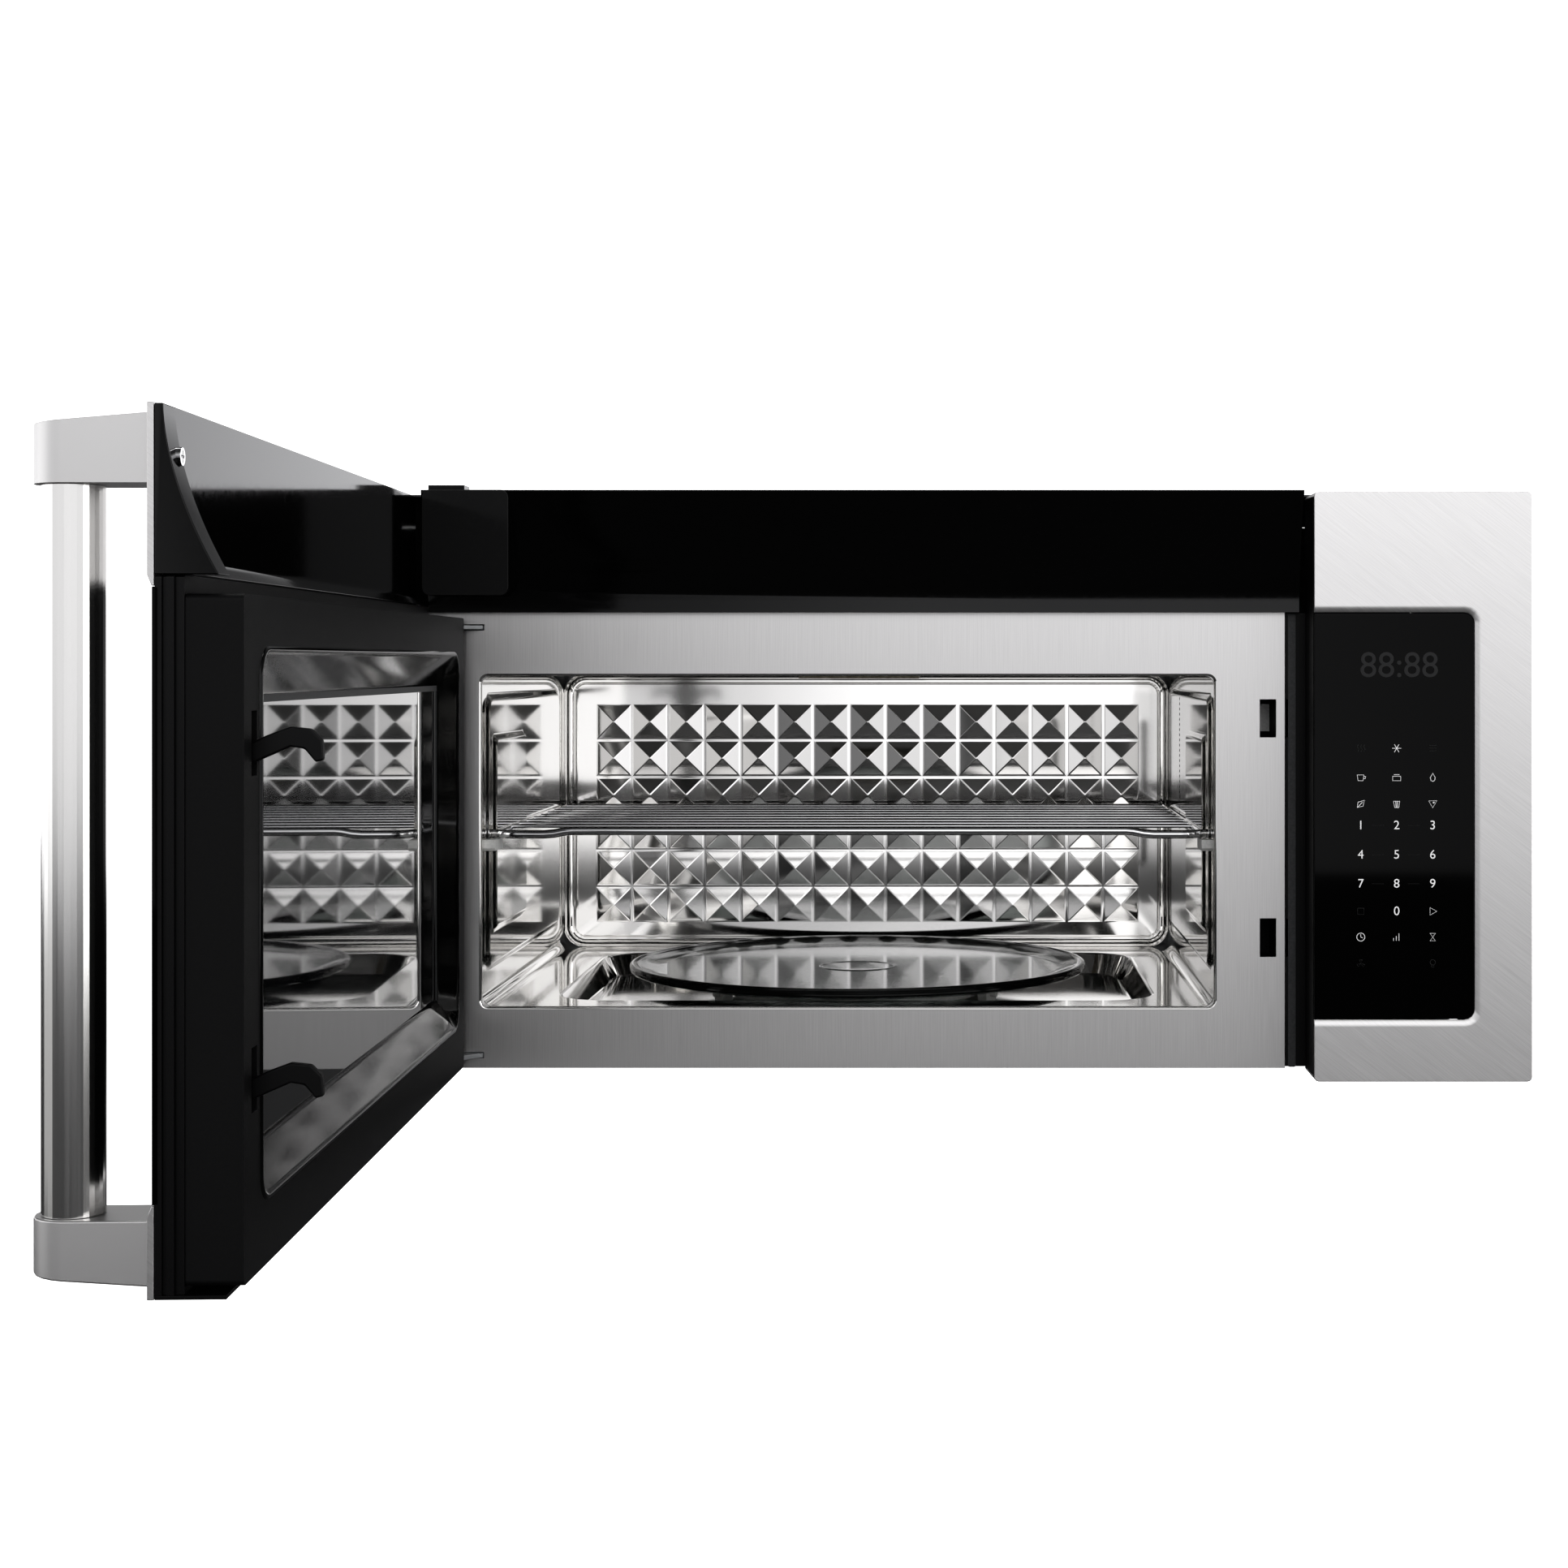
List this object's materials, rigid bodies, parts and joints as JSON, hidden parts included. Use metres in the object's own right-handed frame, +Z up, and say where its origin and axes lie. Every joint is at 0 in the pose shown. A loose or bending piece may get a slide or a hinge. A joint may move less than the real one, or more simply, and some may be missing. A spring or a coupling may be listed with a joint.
{
  "type": "over-the-range microwave oven",
  "caption": "Wall-hung over-the-range convection microwave oven with a side-hinged door, bar handle, glass turntable, wire rack, touch panel and vent.",
  "frame": {"origin": "centre of the flat back face that bears on the wall", "axes": "+Y into the wall, +Z up, +X to the right as seen from the front"},
  "size_m": [0.7975, 0.9974, 0.407],
  "materials": {
    "stainless": "brushed",
    "polished_steel": "polished",
    "chrome_wire": "polished",
    "galvanised": "satin",
    "black_plastic": "textured satin",
    "gloss_black": "gloss",
    "black_glass": "gloss",
    "clear_glass": "clear",
    "white_plastic": "satin",
    "copper_and_iron": "varnished",
    "board_green": "satin",
    "mica": "matt"
  },
  "bodies": {
    "cabinet": {"front_frame": "stainless", "control_fascia": "stainless", "cavity_left_wall": "polished_steel", "cavity_right_wall": "polished_steel", "cavity_floor": "polished_steel", "cavity_ceiling": "polished_steel", "cavity_back_wall": "polished_steel", "cabinet_wrap": "galvanised", "rear_panel": "galvanised", "grease_filter_left": "galvanised", "grease_filter_right": "galvanised", "hinge_bracket_upper": "galvanised", "hinge_bracket_lower": "galvanised", "turntable_motor": "galvanised", "waveguide": "galvanised", "magnetron": "galvanised", "high_voltage_capacitor": "galvanised", "blower_housing": "galvanised", "vent_motor": "galvanised", "convection_housing": "galvanised", "convection_heater": "galvanised", "convection_motor": "galvanised", "damper_frame": "galvanised", "base_pan": "black_plastic", "cord_bushing": "black_plastic", "latch_bracket": "black_plastic", "side_trim": "black_plastic", "vent_fascia": "gloss_black", "control_glass": "black_glass", "cooktop_lamp_lens": "clear_glass", "cavity_lamp": "clear_glass", "rack_rail_left": "white_plastic", "rack_rail_right": "white_plastic", "high_voltage_transformer": "copper_and_iron", "control_board": "board_green", "waveguide_cover": "mica"},
    "door": {"door_skin": "stainless", "door_glass": "black_glass", "door_frame": "black_plastic", "door_upper_trim": "gloss_black", "choke_panel": "galvanised", "choke_cover": "black_plastic", "inner_window": "clear_glass", "handle_bar": "polished_steel", "handle_bracket_upper": "stainless", "handle_bracket_lower": "stainless", "handle_screw": "polished_steel", "latch_spring": "chrome_wire"},
    "latch": {"latch_bar": "black_plastic"},
    "turntable": {"glass_tray": "clear_glass", "drive_coupler": "white_plastic"},
    "roller_ring": {"roller_ring": "white_plastic"},
    "roller_wheel_1": {"roller_wheel_1": "white_plastic"},
    "roller_wheel_2": {"roller_wheel_2": "white_plastic"},
    "roller_wheel_3": {"roller_wheel_3": "white_plastic"},
    "rack": {"wire_rack": "chrome_wire"},
    "vent_blower": {"blower_wheel": "black_plastic"},
    "convection_fan": {"convection_fan": "galvanised"},
    "damper_flap": {"damper_flap": "galvanised"},
    "interlock": {"interlock_plunger": "white_plastic"}
  },
  "joints": [
    {"name": "door_hinge", "type": "hinge", "parent": "cabinet", "child": "door", "pos_m": [-0.35925, -0.4065, 0], "axis": [0, 0, -1], "range_deg": [-88, 2]},
    {"name": "latch_slide", "type": "slide", "parent": "door", "child": "latch", "axis": [0, 0, 1], "range_m": [0, 0.003], "stiffness_N_per_m": 400, "springref_m": -0.004, "deforming": ["latch_spring"]},
    {"name": "turntable_spin", "type": "hinge", "parent": "cabinet", "child": "turntable", "pos_m": [-0.07895, -0.202, -0.1552], "axis": [0, 0, 1], "continuous": true},
    {"name": "roller_ring_spin", "type": "hinge", "parent": "cabinet", "child": "roller_ring", "pos_m": [-0.07895, -0.202, -0.1636], "axis": [0, 0, 1], "continuous": true},
    {"name": "roller_wheel_1_spin", "type": "hinge", "parent": "roller_ring", "child": "roller_wheel_1", "pos_m": [-0.07895, -0.09, -0.1636], "axis": [0, 1, 0], "continuous": true},
    {"name": "roller_wheel_2_spin", "type": "hinge", "parent": "roller_ring", "child": "roller_wheel_2", "pos_m": [-0.17594, -0.258, -0.1636], "axis": [-0.866, -0.5, 0], "continuous": true},
    {"name": "roller_wheel_3_spin", "type": "hinge", "parent": "roller_ring", "child": "roller_wheel_3", "pos_m": [0.01804, -0.258, -0.1636], "axis": [0.866, -0.5, 0], "continuous": true},
    {"name": "rack_slide", "type": "slide", "parent": "cabinet", "child": "rack", "axis": [0, -1, 0], "range_m": [0, 0.3]},
    {"name": "vent_blower_spin", "type": "hinge", "parent": "cabinet", "child": "vent_blower", "pos_m": [-0.07975, -0.073, 0.133], "axis": [1, 0, 0], "continuous": true},
    {"name": "convection_fan_spin", "type": "hinge", "parent": "cabinet", "child": "convection_fan", "pos_m": [0.18825, -0.195, -0.04], "axis": [1, 0, 0], "continuous": true},
    {"name": "damper_swing", "type": "hinge", "parent": "cabinet", "child": "damper_flap", "pos_m": [-0.06775, -0.039, 0.2013], "axis": [-1, 0, 0], "range_deg": [0, 70]},
    {"name": "interlock_slide", "type": "slide", "parent": "cabinet", "child": "interlock", "axis": [0, 1, 0], "range_m": [0, 0.004], "stiffness_N_per_m": 300, "springref_m": -0.003}
  ],
  "couplings": [
    {"joint": "roller_ring_spin", "follows": "turntable_spin", "ratio": 0.5},
    {"joint": "roller_wheel_1_spin", "follows": "turntable_spin", "ratio": -6.9136},
    {"joint": "roller_wheel_2_spin", "follows": "turntable_spin", "ratio": -6.9136},
    {"joint": "roller_wheel_3_spin", "follows": "turntable_spin", "ratio": -6.9136}
  ]
}
